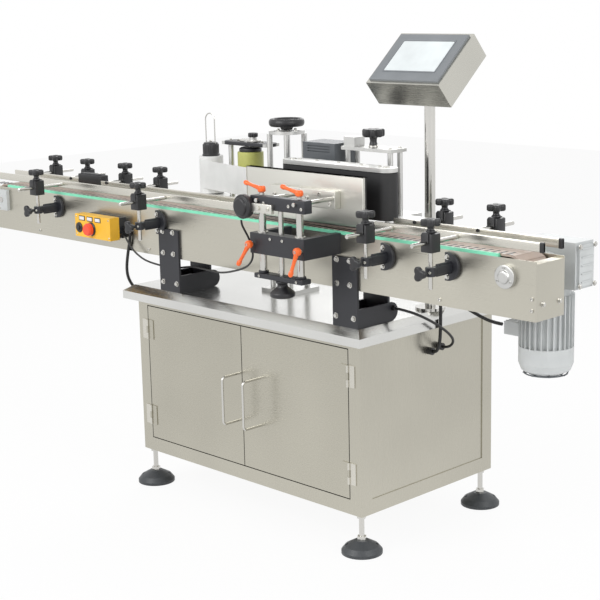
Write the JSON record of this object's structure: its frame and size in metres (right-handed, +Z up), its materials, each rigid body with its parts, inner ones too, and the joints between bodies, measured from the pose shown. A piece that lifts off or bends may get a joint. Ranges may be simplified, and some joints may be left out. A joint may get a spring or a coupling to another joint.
{
  "type": "bottle labelling machine",
  "caption": "Wrap-round bottle labelling machine: slat-chain conveyor over a steel cabinet, with guide rails, press unit, labelling head and a touch panel on a pole.",
  "frame": {"origin": "on the floor under the middle of the whole machine's bounding box", "axes": "+X along the conveyor towards its drive end, +Y from the operator's side to the back, +Z up"},
  "size_m": [2.45, 0.8201, 1.4849],
  "materials": {
    "stainless": "satin brushed stainless sheet",
    "worktop_steel": "polished stainless",
    "bright_steel": "polished bar",
    "aluminium": "clear anodised",
    "black_plastic": "moulded black",
    "black_metal": "black coat",
    "orange_plastic": "moulded orange",
    "yellow_paint": "yellow coat",
    "green_plastic": "mint green",
    "chain_plastic": "acetal",
    "grey_metal": "light grey coat",
    "dark_grey": "dark grey coat",
    "belt_rubber": "black sponge",
    "drum_rubber": "yellow-green coating",
    "web_paper": "label backing",
    "lead_rubber": "cable sheath",
    "panel_grey": "moulded grey",
    "red_plastic": "moulded red"
  },
  "bodies": {
    "base": {"cabinet_frame": "stainless", "cabinet_panels": "stainless", "worktop": "worktop_steel", "foot_pads": "black_plastic", "foot_spindles": "bright_steel", "hinge_frame_leaves": "stainless", "conveyor_frame": "stainless", "wear_strips": "green_plastic", "conveyor_chain": "chain_plastic", "bearing_flanges": "dark_grey", "conveyor_supports": "black_metal", "gearbox": "grey_metal", "gear_motor": "grey_metal", "control_box": "yellow_paint", "control_box_spacer": "black_plastic", "rail_brackets": "black_plastic", "press_bracket": "black_metal", "head_column": "aluminium", "panel_case": "stainless", "touch_panel": "panel_grey", "panel_pole": "bright_steel", "cable_glands": "black_plastic", "control_lead": "lead_rubber", "sensor_lead": "lead_rubber", "motor_lead": "lead_rubber", "detector_lead": "lead_rubber"},
    "left_door": {"left_door": "stainless", "left_door_handle": "bright_steel"},
    "right_door": {"right_door": "stainless", "right_door_handle": "bright_steel"},
    "drive_shaft": {"drive_shaft": "bright_steel"},
    "idler_shaft": {"idler_shaft": "bright_steel"},
    "stop_button": {"stop_button": "red_plastic"},
    "start_button": {"start_button": "black_plastic"},
    "front_left_posts": {"front_left_posts": "black_plastic"},
    "front_left_rail": {"front_left_rail": "aluminium"},
    "front_right_posts": {"front_right_posts": "black_plastic"},
    "front_right_rail": {"front_right_rail": "aluminium"},
    "back_left_posts": {"back_left_posts": "black_plastic"},
    "back_left_rail": {"back_left_rail": "aluminium"},
    "back_right_posts": {"back_right_posts": "black_plastic"},
    "back_right_rail": {"back_right_rail": "aluminium"},
    "press_posts": {"press_posts": "aluminium", "bottle_sensor": "black_plastic"},
    "press_screw": {"press_screw": "black_plastic"},
    "pressure_plate": {"pressure_plate": "aluminium"},
    "top_left_lever": {"top_left_lever": "orange_plastic"},
    "top_right_lever": {"top_right_lever": "orange_plastic"},
    "front_left_lever": {"front_left_lever": "orange_plastic"},
    "front_right_lever": {"front_right_lever": "orange_plastic"},
    "lift_wheel": {"lift_wheel": "black_plastic"},
    "head": {"head_frame": "aluminium", "wrap_belt": "belt_rubber", "label_web": "web_paper", "belt_drive_housing": "dark_grey"},
    "wrap_drive_roller": {"wrap_drive_roller": "aluminium"},
    "wrap_idler_roller": {"wrap_idler_roller": "aluminium"},
    "feed_drum": {"feed_drum": "drum_rubber"},
    "rewinder": {"rewinder": "black_plastic"},
    "star_knob": {"star_knob": "black_plastic"}
  },
  "joints": [
    {"name": "left_door_swing", "type": "hinge", "parent": "base", "child": "left_door", "pos_m": [-0.3435, -0.231, 0.39], "axis": [0, 0, 1], "range_deg": [-110, 0]},
    {"name": "right_door_swing", "type": "hinge", "parent": "base", "child": "right_door", "pos_m": [0.5635, -0.231, 0.39], "axis": [0, 0, 1], "range_deg": [0, 110]},
    {"name": "drive_shaft_turn", "type": "hinge", "parent": "base", "child": "drive_shaft", "pos_m": [1.125, -0.167, 0.896], "axis": [0, 1, 0], "continuous": true},
    {"name": "idler_shaft_turn", "type": "hinge", "parent": "base", "child": "idler_shaft", "pos_m": [-1.154, -0.167, 0.896], "axis": [0, 1, 0], "continuous": true},
    {"name": "stop_press", "type": "slide", "parent": "base", "child": "stop_button", "axis": [0, 1, 0], "range_m": [0, 0.006]},
    {"name": "start_press", "type": "slide", "parent": "base", "child": "start_button", "axis": [0, 1, 0], "range_m": [0, 0.003], "stiffness_N_per_m": 600},
    {"name": "front_left_height", "type": "slide", "parent": "base", "child": "front_left_posts", "axis": [0, 0, 1], "range_m": [0, 0.05]},
    {"name": "front_left_reach", "type": "slide", "parent": "front_left_posts", "child": "front_left_rail", "axis": [0, 1, 0], "range_m": [-0.06, 0.02]},
    {"name": "front_right_height", "type": "slide", "parent": "base", "child": "front_right_posts", "axis": [0, 0, 1], "range_m": [0, 0.05]},
    {"name": "front_right_reach", "type": "slide", "parent": "front_right_posts", "child": "front_right_rail", "axis": [0, 1, 0], "range_m": [-0.06, 0.02]},
    {"name": "back_left_height", "type": "slide", "parent": "base", "child": "back_left_posts", "axis": [0, 0, 1], "range_m": [0, 0.05]},
    {"name": "back_left_reach", "type": "slide", "parent": "back_left_posts", "child": "back_left_rail", "axis": [0, 1, 0], "range_m": [-0.02, 0.04]},
    {"name": "back_right_height", "type": "slide", "parent": "base", "child": "back_right_posts", "axis": [0, 0, 1], "range_m": [0, 0.05]},
    {"name": "back_right_reach", "type": "slide", "parent": "back_right_posts", "child": "back_right_rail", "axis": [0, 1, 0], "range_m": [-0.02, 0.06]},
    {"name": "press_height", "type": "slide", "parent": "base", "child": "press_posts", "axis": [0, 0, 1], "range_m": [0, 0.04]},
    {"name": "press_screw_turn", "type": "hinge", "parent": "press_posts", "child": "press_screw", "pos_m": [0.4345, -0.3545, 0.9], "axis": [0, 0, 1], "range_deg": [0, 1440]},
    {"name": "press_reach", "type": "slide", "parent": "press_posts", "child": "pressure_plate", "axis": [0, 1, 0], "range_m": [-0.06, 0.04]},
    {"name": "top_left_lever_turn", "type": "hinge", "parent": "press_posts", "child": "top_left_lever", "pos_m": [0.359, -0.3545, 1.07], "axis": [0, 0, 1], "range_deg": [-40, 40]},
    {"name": "top_right_lever_turn", "type": "hinge", "parent": "press_posts", "child": "top_right_lever", "pos_m": [0.51, -0.3545, 1.07], "axis": [0, 0, 1], "range_deg": [-40, 40]},
    {"name": "front_left_lever_turn", "type": "hinge", "parent": "base", "child": "front_left_lever", "pos_m": [0.337, -0.377, 0.91455], "axis": [0, 1, 0], "range_deg": [-40, 40]},
    {"name": "front_right_lever_turn", "type": "hinge", "parent": "base", "child": "front_right_lever", "pos_m": [0.532, -0.377, 0.91455], "axis": [0, 1, 0], "range_deg": [-40, 40]},
    {"name": "head_lift", "type": "slide", "parent": "base", "child": "head", "axis": [0, 0, 1], "range_m": [0, 0.05]},
    {"name": "lift_wheel_turn", "type": "hinge", "parent": "base", "child": "lift_wheel", "pos_m": [0.075, 0.023, 1.2], "axis": [0, 0, 1], "range_deg": [0, 1800]},
    {"name": "wrap_drive_turn", "type": "hinge", "parent": "head", "child": "wrap_drive_roller", "pos_m": [0.608, -0.105, 1.04], "axis": [0, 0, 1], "continuous": true},
    {"name": "wrap_idler_turn", "type": "hinge", "parent": "head", "child": "wrap_idler_roller", "pos_m": [0.234, -0.105, 1.04], "axis": [0, 0, 1], "continuous": true},
    {"name": "feed_drum_turn", "type": "hinge", "parent": "head", "child": "feed_drum", "pos_m": [-0.095, 0.023, 1.04], "axis": [0, 0, 1], "continuous": true},
    {"name": "rewinder_turn", "type": "hinge", "parent": "head", "child": "rewinder", "pos_m": [-0.288, 0.023, 1.04], "axis": [0, 0, 1], "continuous": true},
    {"name": "star_knob_turn", "type": "hinge", "parent": "head", "child": "star_knob", "pos_m": [0.441, 0.023, 1.17], "axis": [0, 0, 1], "continuous": true}
  ],
  "couplings": [
    {"joint": "idler_shaft_turn", "follows": "drive_shaft_turn", "ratio": 1},
    {"joint": "wrap_idler_turn", "follows": "wrap_drive_turn", "ratio": 1},
    {"joint": "press_screw_turn", "follows": "press_height", "rad_per_m": 628.32},
    {"joint": "lift_wheel_turn", "follows": "head_lift", "rad_per_m": 628.32}
  ]
}
